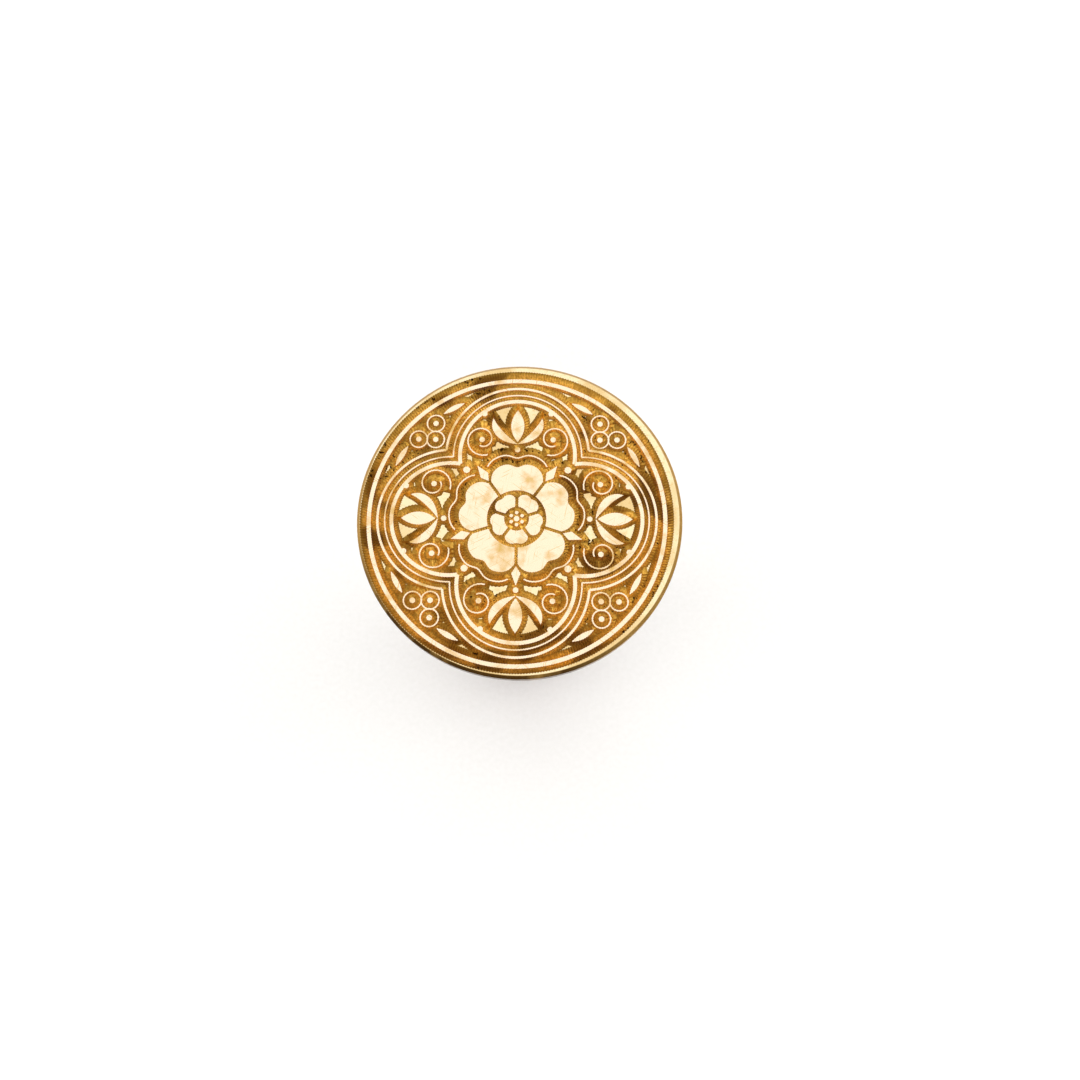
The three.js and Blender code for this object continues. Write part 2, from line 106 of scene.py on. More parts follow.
THREAD_FOOT = 0.74
THREAD_GAP = 0.22
THREAD_BOTTOM = 40.0
STUD_TOP = 48.4
STUD_CHAMFER = 0.6
SHANK_RADIUS = 3.1
SHANK_BOTTOM = 30.1
WASHER_OUTER_RADIUS = 5.6
WASHER_INNER_RADIUS = 3.8
WASHER_BOTTOM = 41.7
WASHER_TOP = 42.5
HEAD_SEAT = 42.6
HEAD_RADIUS = 15.0
RIM_WALL = 0.8
RIM_BEVEL = 0.3
RIM_CHAMFER = 0.4
NECK_RADIUS = 6.0
NECK_LENGTH = 4.0
NECK_CHAMFER = 0.5
BORE_DEPTH = 7.4
COUNTERSINK = 0.5
FACE = 55.6
RIM_BOTTOM = FACE - RIM_BEVEL - RIM_WALL

# Engraving, cut into the face with a cone that is flat at its tip
ENGRAVING_SHIFT = -0.24 - 0.12j
CUT_DEPTH = 0.5
WALL_RUN = 0.55
CUT_OVER = 0.1  # how far a cut's walls go on above the face
RING_RADIUS = 13.7
RING_LINE = 0.38
BROAD_LINE = 0.35
MEDIUM_LINE = 0.22
FINE_LINE = 0.13
FRAME_LOBES = 4
LOBE_DISTANCE = 6.2
LOBE_RADIUS = 6.7
# Each line of the frame: how far it lies inside its lobe's radius, and its width
FRAME_LINES = ((0.0, MEDIUM_LINE), (0.68, FINE_LINE), (1.3, BROAD_LINE))
ROSE_PETALS = 5
PETAL_GAP = 0.3
OUTER_PETAL = {"inner": 2.75, "outer": 5.4, "droop": 1.1, "notch": 0.4}
INNER_PETAL = {"inner": 1.15, "outer": 2.45, "droop": 0.45, "notch": 0.12}
NOTCH_WIDTH = 0.2
HALO_GAP = 0.92  # between the petals and the fine line that follows them
HALO_REACH = 0.84  # share of a petal's width that the line goes along
SEPAL_BASE = 4.5
SEPAL_WIDEST = 5.2
SEPAL_TIP = 6.35
SEPAL_HALF_WIDTH = 0.42
SEEDS = 6
SEED_RADIUS = 0.17
SEED_CIRCLE = 0.58
MIDDLE_SEED_RADIUS = 0.26
PEARL_RADIUS = 0.26
MIDDLE_LEAF = {"base": 7.5, "tip": 10.7, "half_width": 0.62}
SIDE_LEAF = {"base": 7.3, "bend": 8.2, "tip": 9.9, "spread": 2.3, "half_width": 0.36}
SCROLL_MIDDLE = 7.75 + 3.35j
SCROLL_OUTER = 1.6
SCROLL_INNER = 0.62
SCROLL_START = -160.0
SCROLL_TURN = 400.0
ROOT_PEARL = 6.75
LOBE_PEARL = 10.35 + 3.15j
LOOP_RADIUS = 0.82
LOOPS = (10.95 + 0j, 12.1 + 1.12j, 12.1 - 1.12j)
DAGGER_RADIUS = 12.5
DAGGER_FROM = 10.5
DAGGER_TO = 21.0
DAGGER_HALF_WIDTH = 0.24
CUSP_PEARL = 6.7
CUSP_PEARL_RADIUS = 0.32

# Fineness of the meshes
TURNED_SIDES = 128
HEAD_SIDES = 192
THREAD_SIDES = 48
UNDERSIDE_STEPS = 32
BEAD_STEPS = 12
EDGE_STEPS = 6
GRIP_STEPS = 24  # from one driving point of the grip's curve to the next
SHARP_ANGLE = 22.0  # an edge between faces that turn further than this shows as an edge

# How far up a normal points, from 0 on a wall to 1 on the level, where a finish changes
SLOPING = 0.9
LEVEL = 0.97


# Colour and materials

def linear(code):
    """An sRGB colour such as "#C9A24B" as linear red, green, blue and an alpha of 1."""
    values = [int(code[i : i + 2], 16) / 255 for i in (1, 3, 5)]
    return [v / 12.92 if v <= 0.04045 else ((v + 0.055) / 1.055) ** 2.4 for v in values] + [1.0]


def add(tree, kind, inputs=None, **settings):
    """Adds a node with its settings. Each input, by name or identifier, takes a value, a colour as an
    sRGB hex string, another node, which means its first output in use, or a node and an output's name."""
    node = tree.nodes.new(kind)
    for name, value in settings.items():
        setattr(node, name, value)
    for name, value in (inputs or {}).items():
        socket = next(s for s in node.inputs if name in (s.identifier, s.name))
        if isinstance(value, bpy.types.Node):
            tree.links.new(next(s for s in value.outputs if s.enabled), socket)
        elif isinstance(value, tuple) and isinstance(value[0], bpy.types.Node):
            tree.links.new(value[0].outputs[value[1]], socket)
        elif isinstance(value, str):
            socket.default_value = linear(value)
        else:
            socket.default_value = value
    return node


def new_material(name):
    """An empty material, its tree and its texture coordinates."""
    material = bpy.data.materials.new(name)
    material.use_nodes = True
    tree = material.node_tree
    tree.nodes.clear()
    return material, tree, add(tree, "ShaderNodeTexCoord")


def finish_material(material, tree, inputs):
    """Gives the material its shader, with those inputs, and its output."""
    shader = add(tree, "ShaderNodeBsdfPrincipled", inputs)
    add(tree, "ShaderNodeOutputMaterial", {"Surface": shader})
    return material


def patches(tree, place, size, start=0.0, full=1.0, least=0.0, most=1.0, detail=2.0, turn=0):
    """A share that rises in cloudy patches, from least where their noise is at start to most where it
    is at full. They are size millimetres across, or (X, Y, Z) millimetres, and turned about Z."""
    sizes = size if isinstance(size, tuple) else (size, size, size)
    scaled = add(
        tree,
        "ShaderNodeMapping",
        {
            "Vector": (place, "Object"),
            "Rotation": (0, 0, math.radians(turn)),
            "Scale": [each * MM for each in sizes],
        },
        vector_type="TEXTURE",
    )
    clouds = add(tree, "ShaderNodeTexNoise", {"Vector": scaled, "Scale": 1.0, "Detail": detail})
    limits = {"Value": clouds, "From Min": start, "From Max": full, "To Min": least, "To Max": most}
    return add(tree, "ShaderNodeMapRange", limits)


def coats(tree, colour, *layers):
    """A colour with others laid over it in turn, each as far as its share says."""
    for share, over in layers:
        inputs = {"Factor_Float": share, "A_Color": colour, "B_Color": over}
        colour = add(tree, "ShaderNodeMix", inputs, data_type="RGBA")
    return colour


def lathe_rings(tree, place, pitch, strength):
    """A bump of fine rings round the Z axis, a pitch in millimetres apart, as a lathe tool leaves them.
    The real ones are a tenth of a millimetre apart or less, so they are drawn coarser, to show."""
    rings = add(
        tree,
        "ShaderNodeTexWave",
        {
            "Vector": (place, "Object"),
            "Scale": 1 / (pitch * MM) / WAVES_PER_UNIT,
            "Distortion": 1.5,
            "Detail": 2.0,
        },
        bands_direction="Z",
    )
    return add(
        tree, "ShaderNodeBump", {"Height": rings, "Strength": strength, "Distance": 0.02 * MM}
    )


def engraved_brass(finish):
    """Brass, cut by a fine cone cutter that is flat at its tip: bright floors with smudges and hair
    scratches, walls painted a darker amber than the floors as painted shade and painted bounced light,
    painted shade along the walls' upper edge, and brown grime and burrs along the ridges."""
    material, tree, place = new_material("Brass, engraved with a cone cutter")
    facing = add(tree, "ShaderNodeSeparateXYZ", {"Vector": (place, "Normal")})
    where = add(tree, "ShaderNodeSeparateXYZ", {"Vector": (place, "Object")})
    on_floor = add(
        tree, "ShaderNodeMapRange", {"Value": (facing, "Z"), "From Min": SLOPING, "From Max": LEVEL}
    )

    smudged = patches(tree, place, 2.0, start=0.52, full=0.7, detail=6.0)
    # Real scratches are a few hundredths of a millimetre wide. These are wider, to show.
    scratched = [
        patches(tree, place, (2.4, 0.1, 1), start=0.66, full=0.74, most=0.8, detail=1.0, turn=turn)
        for turn in (28, -35, 80)
    ]
    marks = [(share, finish.smudge) for share in (smudged, *scratched)]
    floor = coats(tree, finish.floor, *marks)

    # Crumbs of dirt lie in clusters, most of them near the top of the walls.
    gathered = patches(tree, place, 3.0, start=0.42, full=0.62, least=0.8, most=0.58, detail=1.0)
    deep_down = add(
        tree,
        "ShaderNodeMapRange",
        {
            "Value": (where, "Z"),
            "From Min": (FACE - 0.45) * MM,
            "From Max": (FACE - 0.15) * MM,
            "To Min": 0.12,
            "To Max": 0.0,
        },
    )
    threshold = add(
        tree, "ShaderNodeMath", {"Value": gathered, "Value_001": deep_down}, operation="ADD"
    )
    crumbs = patches(tree, place, 0.3)
    dirty = add(
        tree, "ShaderNodeMath", {"Value": crumbs, "Value_001": threshold}, operation="GREATER_THAN"
    )
    # Painted shade: the walls are darkest along their upper edge.
    top_edge_shade = add(
        tree,
        "ShaderNodeMapRange",
        {
            "Value": (where, "Z"),
            "From Min": (FACE - 0.24) * MM,
            "From Max": (FACE - 0.06) * MM,
            "To Max": 0.85,
        },
    )
    grained = patches(tree, place, 0.22, start=0.35, full=0.65)
    tarnished = patches(tree, place, 2.6, start=0.45, full=0.62, most=0.65, detail=3.0)
    stained = patches(tree, place, 5.0, start=0.57, full=0.62, most=0.7, detail=1.0)
    # The walls take darker, deeper amber colours than the floors of the same brass: painted shade and
    # painted bounced light. Over them go a grain of two wall colours, tarnished patches, stains and
    # crumbs.
    walls = coats(
        tree,
        finish.wall_dark,
        (grained, finish.wall),
        (tarnished, finish.tarnish_and_edge_shade),
        (stained, finish.stain),
        (top_edge_shade, finish.tarnish_and_edge_shade),
        (dirty, finish.dirt_and_rim_shade),
    )
    roughness = add(tree, "ShaderNodeMapRange", {"Value": on_floor, "To Min": 0.4, "To Max": 0.26})
    bump = add(tree, "ShaderNodeBump", {"Height": grained, "Strength": 0.3, "Distance": 0.02 * MM})
    return finish_material(
        material,
        tree,
        {
            "Base Color": coats(tree, walls, (on_floor, floor)),
            "Metallic": 1.0,
            "Roughness": roughness,
            "Normal": bump,
        },
    )


def polished_brass(finish):
    """Brass turned and then polished: a pale face with a fine speckle of pits and here and there a
    duller patch, a deeper gold on the rim and the underside, which is painted shade, with lathe
    rings, and a patchy brown band of painted shade on the side of the rim towards the camera."""
    material, tree, place = new_material("Brass, turned and polished")
    facing = add(tree, "ShaderNodeSeparateXYZ", {"Vector": (place, "Normal")})
    where = add(tree, "ShaderNodeSeparateXYZ", {"Vector": (place, "Object")})
    on_face = add(
        tree, "ShaderNodeMapRange", {"Value": (facing, "Z"), "From Min": SLOPING, "From Max": LEVEL}
    )
    speckled = patches(tree, place, 0.3, start=0.5, full=0.8, most=0.6, detail=3.0)
    dulled = patches(tree, place, 5.0, start=0.5, full=0.6, most=0.6, detail=1.0)
    face = coats(tree, finish.polished, (speckled, finish.smudge), (dulled, finish.smudge))

    below_face = add(
        tree,
        "ShaderNodeMapRange",
        {
            "Value": (where, "Z"),
            "From Min": (FACE - 0.01) * MM,
            "From Max": (FACE - 0.06) * MM,
        },
    )
    above_underside = add(
        tree,
        "ShaderNodeMapRange",
        {
            "Value": (where, "Z"),
            "From Min": (RIM_BOTTOM - RIM_CHAMFER) * MM,
            "From Max": RIM_BOTTOM * MM,
        },
    )
    # A patchy brown band of painted shade on the rim's wall, on the side towards the camera, laid in the
    # colour of the engraving's crumbs and burrs.
    toward_shaded_rim = add(
        tree,
        "ShaderNodeVectorMath",
        {"Vector": (place, "Object"), "Vector_001": SHADED_RIM_DIRECTION},
        operation="DOT_PRODUCT",
    )
    on_shaded_rim = add(
        tree,
        "ShaderNodeMapRange",
        {
            "Value": (toward_shaded_rim, "Value"),
            "From Min": 0.45 * HEAD_RADIUS * MM,
            "From Max": 0.8 * HEAD_RADIUS * MM,
        },
    )
    rim_shade = patches(tree, place, 3.0, start=0.2, full=0.42, most=0.9, detail=3.0)
    for share in (below_face, above_underside, on_shaded_rim):
        rim_shade = add(tree, "ShaderNodeMath", {"Value": rim_shade, "Value_001": share}, operation="MULTIPLY")
    # The rim colour, deeper than the face's, is painted shade on everything that slopes away from the
    # face.
    rim = coats(tree, finish.rim, (speckled, finish.smudge), (rim_shade, finish.dirt_and_rim_shade))
    return finish_material(
        material,
        tree,
        {
            "Base Color": coats(tree, rim, (on_face, face)),
            "Metallic": 1.0,
            "Roughness": patches(
                tree, place, 1.6, start=0.3, full=0.7, least=0.2, most=0.32, detail=4.0
            ),
            "Normal": lathe_rings(tree, place, 0.3, 0.12),
        },
    )


def turned_brass(finish):
    """Brass turned on a lathe and buffed: warm yellow metal with fine rings that catch the light."""
    material, tree, place = new_material("Brass, turned and buffed")
    clouded = patches(tree, place, 1.4, start=0.35, full=0.7, detail=4.0)
    return finish_material(
        material,
        tree,
        {
            "Base Color": coats(tree, finish.turned, (clouded, finish.smudge)),
            "Metallic": 1.0,
            "Roughness": patches(
                tree, place, (3, 3, 0.3), start=0.3, full=0.7, least=0.24, most=0.38, detail=3.0
            ),
            "Normal": lathe_rings(tree, place, 0.25, 0.2),
        },
    )


def zinc_plated_steel(finish):
    """Steel with a rolled thread and bright zinc: cold grey metal, a little milky in places."""
    material, tree, place = new_material("Steel, thread rolled and zinc plated")
    milky = patches(tree, place, 0.8, start=0.4, full=0.7, detail=4.0)
    return finish_material(
        material,
        tree,
        {
            "Base Color": coats(tree, finish.zinc, (milky, "#9FA6AD")),
            "Metallic": 1.0,
            "Roughness": patches(
                tree, place, 0.5, start=0.3, full=0.7, least=0.22, most=0.42, detail=3.0
            ),
            "Normal": lathe_rings(tree, place, 0.2, 0.08),
        },
    )


def vulcanised_fibre(finish):
    """Fibre pressed in sheets and punched: dull and rough, red-brown with pale threads."""
    material, tree, place = new_material("Vulcanised fibre, punched")
    clouded = patches(tree, place, 0.9, detail=3.0)
    # Real threads are a few hundredths of a millimetre across. These are thicker, to show.
    threads = patches(tree, place, (1.2, 0.12, 0.12), start=0.55, full=0.7, most=0.4, turn=40)
    grain = patches(tree, place, 0.15)
    return finish_material(
        material,
        tree,
        {
            "Base Color": coats(tree, finish.fibre, (clouded, "#7A2A1B"), (threads, "#C07A5E")),
            "Metallic": 0.0,
            "Roughness": 0.75,
            "Normal": add(
                tree, "ShaderNodeBump", {"Height": grain, "Strength": 0.4, "Distance": 0.04 * MM}
            ),
        },
    )


def lacquered_rosewood(finish, growth_year):
    """Rosewood, turned and lacquered: red-brown with nearly black growth lines that run the length of
    the grip and close into long loops where it bulges, and short dark pores under a clear gloss."""
    material, tree, place = new_material("Rosewood, turned and lacquered")
    stretched = add(
        tree,
        "ShaderNodeMapping",
        {"Vector": (place, "Object"), "Scale": (9 * MM, 9 * MM, 40 * MM)},
        vector_type="TEXTURE",
    )
    sway = add(tree, "ShaderNodeTexNoise", {"Vector": stretched, "Scale": 1.0, "Detail": 1.0})
    # The middle of the tree lies outside the grip, and the growth rings sway about it.
    from_pith = add(
        tree,
        "ShaderNodeVectorMath",
        {"Vector": (place, "Object"), "Vector_001": (16 * MM, 5 * MM, 0)},
        operation="ADD",
    )
    swayed = add(
        tree,
        "ShaderNodeVectorMath",
        {"Vector": (sway, "Color"), "Vector_001": (3.5 * MM,) * 3, "Vector_002": from_pith},
        operation="MULTIPLY_ADD",
    )
    growth = add(
        tree,
        "ShaderNodeTexWave",
        {
            "Vector": swayed,
            "Scale": 1 / growth_year / WAVES_PER_UNIT,
            "Distortion": 0.3,
            "Detail": 1.0,
        },
        wave_type="RINGS",
        rings_direction="Z",
        wave_profile="SAW",
    )
    late = add(tree, "ShaderNodeMapRange", {"Value": growth, "From Min": 0.4, "From Max": 1.0})
    streaked = patches(tree, place, (0.7, 0.7, 12), start=0.4, full=0.7, most=0.5, detail=3.0)
    pores = patches(tree, place, (0.16, 0.16, 2.2), start=0.64, full=0.72, detail=1.0)
    colour = coats(
        tree,
        finish.wood,
        (late, finish.wood_dark),
        (streaked, "#7A3620"),
        (pores, "#160705"),
    )
    return finish_material(
        material,
        tree,
        {
            "Base Color": colour,
            "Metallic": 0.0,
            "Roughness": 0.42,
            "Normal": add(
                tree, "ShaderNodeBump", {"Height": pores, "Strength": 0.25, "Distance": -0.03 * MM}
            ),
            "Coat Weight": 0.7,
            "Coat Roughness": 0.08,
        },
    )


def matt_paper():
    """Heavy matt white paper with a faint tooth."""
    material, tree, place = new_material("Paper, matt white")
    tooth = patches(tree, place, 0.6, detail=3.0)
    return finish_material(
        material,
        tree,
        {
            "Base Color": coats(tree, "#F1F0ED", (tooth, "#FBFAF8")),
            "Metallic": 0.0,
            "Roughness": 0.9,
            "Normal": add(
                tree, "ShaderNodeBump", {"Height": tooth, "Strength": 0.15, "Distance": 0.1 * MM}
            ),
        },
    )


# Meshes

def mesh_from(name, corners, faces):
    """A mesh from corners in millimetres."""
    mesh = bpy.data.meshes.new(name)
    mesh.from_pydata((np.asarray(corners) * MM).tolist(), [], faces)
    mesh.validate()
    return mesh


def turned(name, profile, sides=TURNED_SIDES):
    """A closed shape turned about the Z axis. Its profile holds (radius, height) pairs with the outside
    on the right as it is followed. It starts and ends on the axis, or closes on itself."""
    on_axis = profile[0][0] == 0
    ring_rows = profile[1:-1] if on_axis else profile
    angles = 2 * math.pi * np.arange(sides) / sides
    corners = [
        (radius * math.cos(a), radius * math.sin(a), height)
        for radius, height in ring_rows
        for a in angles
    ]
    rows = len(ring_rows)
    faces = []
    for row in range(rows if not on_axis else rows - 1):
        low = row * sides
        high = ((row + 1) % rows) * sides
        for i in range(sides):
            j = (i + 1) % sides
            faces.append((low + i, low + j, high + j, high + i))
    if on_axis:
        start, end = len(corners), len(corners) + 1
        corners += [(0, 0, profile[0][1]), (0, 0, profile[-1][1])]
        last = (rows - 1) * sides
        for i in range(sides):
            j = (i + 1) % sides
            faces.append((start, j, i))
            faces.append((end, last + i, last + j))
    return mesh_from(name, corners, faces)


def joined(meshes, operation="UNION"):
    """The first mesh with the others added to it or cut from it, or the part of it that they share.
    Each face keeps its material."""
    scene = bpy.context.scene
    base = bpy.data.objects.new("joined", meshes[0])
    scene.collection.objects.link(base)
    group = bpy.data.collections.new("operands")
    scene.collection.children.link(group)
    for mesh in meshes[1:]:
        group.objects.link(bpy.data.objects.new("operand", mesh))
    modifier = base.modifiers.new("join", "BOOLEAN")
    modifier.operation = operation
    modifier.operand_type = "COLLECTION"
    modifier.solver = "MANIFOLD"
    modifier.material_mode = "TRANSFER"
    modifier.collection = group
    bpy.context.view_layer.update()
    evaluated = base.evaluated_get(bpy.context.evaluated_depsgraph_get())
    result = bpy.data.meshes.new_from_object(evaluated)
    if not result.polygons:
        raise RuntimeError(f"Nothing is left of {meshes[0].name} after its {operation.lower()}")
    for scratch in [base, *group.objects]:
        bpy.data.objects.remove(scratch)
    bpy.data.collections.remove(group)
    return result


def place_piece(name, mesh, material, body, node):
    """A finished piece that stands for a node of the frame and rides on its body. With no material
    given, its mesh keeps the ones that it has."""
    if material:
        mesh.materials.clear()
        mesh.materials.append(material)
    mesh.shade_smooth()
    mesh.set_sharp_from_angle(angle=math.radians(SHARP_ANGLE))
    piece = bpy.data.objects.new(name, mesh)
    bpy.context.scene.collection.objects.link(piece)
    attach(piece, body)
    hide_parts(node)


# Cuts of the engraving

def cutter_step():
    """The distance between the corners of a cut, in millimetres. Two steps make one stroke."""
    return bpy.context.scene.seal_sizes.stroke / 2 / MM


def polar(radius, degrees):
    return radius * np.exp(1j * np.radians(degrees))


def wall_edge(loop, reach):
    """An edge round a loop that has the cut's floor on its left, further out by reach at each corner.
    In a hollow bend it stays short of the bend's middle."""
    short_of_bend = 0.9
    longest_mitre = 1.6
    way_in = loop - np.roll(loop, 1)
    way_out = np.roll(loop, -1) - loop
    turn = np.angle(way_out / way_in)
    step = (abs(way_in) + abs(way_out)) / 2
    bend = np.full(len(loop), np.inf)
    hollow = turn < 0
    bend[hollow] = step[hollow] / -turn[hollow]
    mitre = -1j * (way_in / abs(way_in) + way_out / abs(way_out))
    mitre *= 2 / abs(mitre) ** 2
    mitre *= np.minimum(1, longest_mitre / abs(mitre))
    return loop + mitre * np.minimum(reach, short_of_bend * bend)


def cut(loops):
    """What a cut takes away: a floor bounded by one loop, or by two with the same number of corners,
    and sloped walls that go up past the face, fluted by the cutter's strokes."""
    sizes = bpy.context.scene.seal_sizes
    edge_relief = sizes.edge_relief / MM
    wall_relief = sizes.wall_relief / MM
    levels = ((0.0, edge_relief), (CUT_DEPTH / 2, wall_relief), (CUT_DEPTH + CUT_OVER, edge_relief))
    count = len(loops[0])
    to_top = (len(levels) - 1) * count
    in_and_out = (-1) ** np.arange(count)
    corners = []
    faces = []
    starts = []
    for loop in loops:
        starts.append(len(corners))
        for level, relief in levels:
            reach = WALL_RUN * level / CUT_DEPTH + relief * in_and_out
            edge = wall_edge(loop, reach) + ENGRAVING_SHIFT
            corners += [(p.real, p.imag, FACE - CUT_DEPTH + level) for p in edge]
        for low in range(starts[-1], starts[-1] + to_top, count):
            for i in range(count):
                j = (i + 1) % count
                faces.append((low + i, low + j, low + count + j, low + count + i))
    outer = starts[0]
    if len(loops) == 1:
        faces.append(tuple(range(outer + count - 1, outer - 1, -1)))
        faces.append(tuple(range(outer + to_top, outer + to_top + count)))
    else:
        inner = starts[1]
        for i in range(count):
            j = (i + 1) % count
            # The inner loop runs the other way round.
            near, far = inner + count - 1 - i, inner + count - 1 - j
            faces.append((outer + j, outer + i, near, far))
            faces.append((outer + to_top + i, outer + to_top + j, far + to_top, near + to_top))
    return mesh_from("cut", corners, faces)


def tapered(points, half_width):
    """A cut along a row of points. Its half width follows from the share of the way along."""
    way = np.empty_like(points)
    way[1:-1] = points[2:] - points[:-2]
    way[0] = points[1] - points[0]
    way[-1] = points[-1] - points[-2]
    to_left = 1j * way / abs(way)
    half = half_width(np.linspace(0, 1, len(points)))
    right = (points - to_left * half)[half > 0]
    left = (points + to_left * half)[::-1]
    return cut([np.concatenate([right, left])])


def line(points, width):
    return tapered(points, lambda share: np.full_like(share, width / 2))


def lens(half_width):
    """The half width of a leaf that is widest in its middle and comes to a point at both ends."""
    return lambda share: 4 * half_width * share * (1 - share)


def spaced(length):
    """Shares from 0 to 1 for a way of that length, one cutter step apart."""
    return np.linspace(0, 1, max(2, math.ceil(length / cutter_step())) + 1)


def leaf(base, bend, tip, half_width):
    share = spaced(abs(bend - base) + abs(tip - bend))
    rib = (1 - share) ** 2 * base + 2 * share * (1 - share) * bend + share**2 * tip
    return tapered(rib, lens(half_width))


def arc_points(centre, radius, start, end):
    share = spaced(radius * math.radians(abs(end - start)))
    return centre + polar(radius, start + (end - start) * share)


def circle(centre, radius):
    return arc_points(centre, radius, 0, 360)[1:]


def hoop(centre, radius, width):
    directions = circle(MIDDLE, radius) / radius
    outside = centre + directions * (radius + width / 2)
    inside = centre + directions * (radius - width / 2)
    return cut([outside, inside[::-1]])


def pearl(centre, radius):
    return cut([circle(centre, radius)])


def lobe_reach(radius):
    """How far round its lobe a line of the frame goes, in degrees each way, to meet the next one."""
    half = math.pi / FRAME_LOBES
    return math.degrees(half + math.asin(LOBE_DISTANCE * math.sin(half) / radius))


def frame_lobe(direction):
    middle = polar(LOBE_DISTANCE, direction)
    parts = []
    for inset, width in FRAME_LINES:
        radius = LOBE_RADIUS - inset
        reach = lobe_reach(radius)
        parts.append(line(arc_points(middle, radius, direction - reach, direction + reach), width))
    return parts


def petal_half_angle(radius):
    """Half the angle between the sides of a petal, in degrees, at a distance from the middle."""
    return 180 / ROSE_PETALS - np.degrees(PETAL_GAP / 2 / radius)


def petal_edge(shape, direction, reach=1.0, gap=0.0):
    """Points along a petal's outer edge, or a gap outside it, over a share of its width."""
    width = 2 * shape["outer"] * math.pi / ROSE_PETALS
    across = reach * (2 * spaced(reach * width) - 1)
    dip = shape["notch"] * np.exp(-((across / NOTCH_WIDTH) ** 2))
    radius = shape["outer"] - shape["droop"] * across**4 - dip
    return polar(radius + gap, direction + across * petal_half_angle(radius))


def petal(shape, direction):
    half = petal_half_angle(shape["inner"])
    root = arc_points(MIDDLE, shape["inner"], direction + half, direction - half)
    return cut([subdivided(np.concatenate([petal_edge(shape, direction), root]))])


def subdivided(loop):
    """A loop with its long edges cut into cutter steps."""
    pieces = []
    for start, end in zip(loop, np.roll(loop, -1)):
        count = max(1, round(abs(end - start) / cutter_step()))
        pieces.append(start + (end - start) * np.arange(count) / count)
    return np.concatenate(pieces)


def sepal(direction):
    corners = [
        SEPAL_BASE + 0j,
        SEPAL_WIDEST - 1j * SEPAL_HALF_WIDTH,
        SEPAL_TIP + 0j,
        SEPAL_WIDEST + 1j * SEPAL_HALF_WIDTH,
    ]
    return cut([subdivided(np.array(corners) * polar(1, direction))])


def rose():
    upright = 90
    parts = [pearl(MIDDLE, MIDDLE_SEED_RADIUS)]
    for k in range(ROSE_PETALS):
        direction = upright + 360 * k / ROSE_PETALS
        between = direction + 180 / ROSE_PETALS
        parts.append(petal(OUTER_PETAL, direction))
        parts.append(line(petal_edge(OUTER_PETAL, direction, HALO_REACH, HALO_GAP), FINE_LINE))
        parts.append(petal(INNER_PETAL, between))
        parts.append(sepal(between))
    for k in range(SEEDS):
        parts.append(pearl(polar(SEED_CIRCLE, upright + 360 * k / SEEDS), SEED_RADIUS))
    return parts


def mirrored(point, side):
    """A point as it is, or on the other side of the direction that it is given along."""
    return point if side > 0 else point.conjugate()


def scroll(direction, side):
    """A fine line that winds in round a pearl, on the left of a lobe's direction or on the right. Its
    turns run into one another, so it is cut in short stretches."""
    stretch = 16
    middle = mirrored(SCROLL_MIDDLE, side) * polar(1, direction)
    mean_radius = (SCROLL_OUTER + SCROLL_INNER) / 2
    share = spaced(mean_radius * math.radians(SCROLL_TURN))
    radius = SCROLL_OUTER + (SCROLL_INNER - SCROLL_OUTER) * share
    points = middle + polar(radius, direction + side * (SCROLL_START - SCROLL_TURN * share))
    parts = [pearl(middle, PEARL_RADIUS)]
    for i in range(0, len(points) - 2, stretch):
        parts.append(line(points[i : i + stretch + 2], FINE_LINE))
    return parts


def lobe_ornament(direction):
    turn = polar(1, direction)
    base, tip = MIDDLE_LEAF["base"], MIDDLE_LEAF["tip"]
    parts = [
        leaf(base * turn, (base + tip) / 2 * turn, tip * turn, MIDDLE_LEAF["half_width"]),
        pearl(ROOT_PEARL * turn, PEARL_RADIUS),
    ]
    for side in (1, -1):
        spread = 1j * side * SIDE_LEAF["spread"]
        root = SIDE_LEAF["base"] * turn
        bend = (SIDE_LEAF["bend"] + spread) * turn
        end = (SIDE_LEAF["tip"] + spread) * turn
        parts.append(leaf(root, bend, end, SIDE_LEAF["half_width"]))
        parts += scroll(direction, side)
        parts.append(pearl(mirrored(LOBE_PEARL, side) * turn, PEARL_RADIUS))
    return parts


def spandrel_ornament(direction):
    parts = [pearl(polar(CUSP_PEARL, direction), CUSP_PEARL_RADIUS)]
    for middle in LOOPS:
        placed = middle * polar(1, direction)
        parts.append(hoop(placed, LOOP_RADIUS, FINE_LINE))
        parts.append(pearl(placed, PEARL_RADIUS))
    for side in (1, -1):
        start = direction + side * DAGGER_FROM
        end = direction + side * DAGGER_TO
        parts.append(tapered(arc_points(MIDDLE, DAGGER_RADIUS, start, end), lens(DAGGER_HALF_WIDTH)))
    return parts


def engraving():
    parts = [hoop(MIDDLE, RING_RADIUS, RING_LINE), *rose()]
    for k in range(FRAME_LOBES):
        direction = 360 * k / FRAME_LOBES
        parts += frame_lobe(direction)
        parts += lobe_ornament(direction)
        parts += spandrel_ornament(direction + 180 / FRAME_LOBES)
    return parts


# Pieces

def rounded(outer_radius, top, radius):
    """A quarter round at the upper outer edge of a profile."""
    angles = np.linspace(0, math.pi / 2, EDGE_STEPS + 1)
    return [
        (outer_radius - radius + radius * math.cos(a), top - radius + radius * math.sin(a))
        for a in angles
    ]


def bar_between(bottom, top, radius):
    return turned("bar", [(0, bottom), (radius, bottom), (radius, top), (0, top)], THREAD_SIDES)


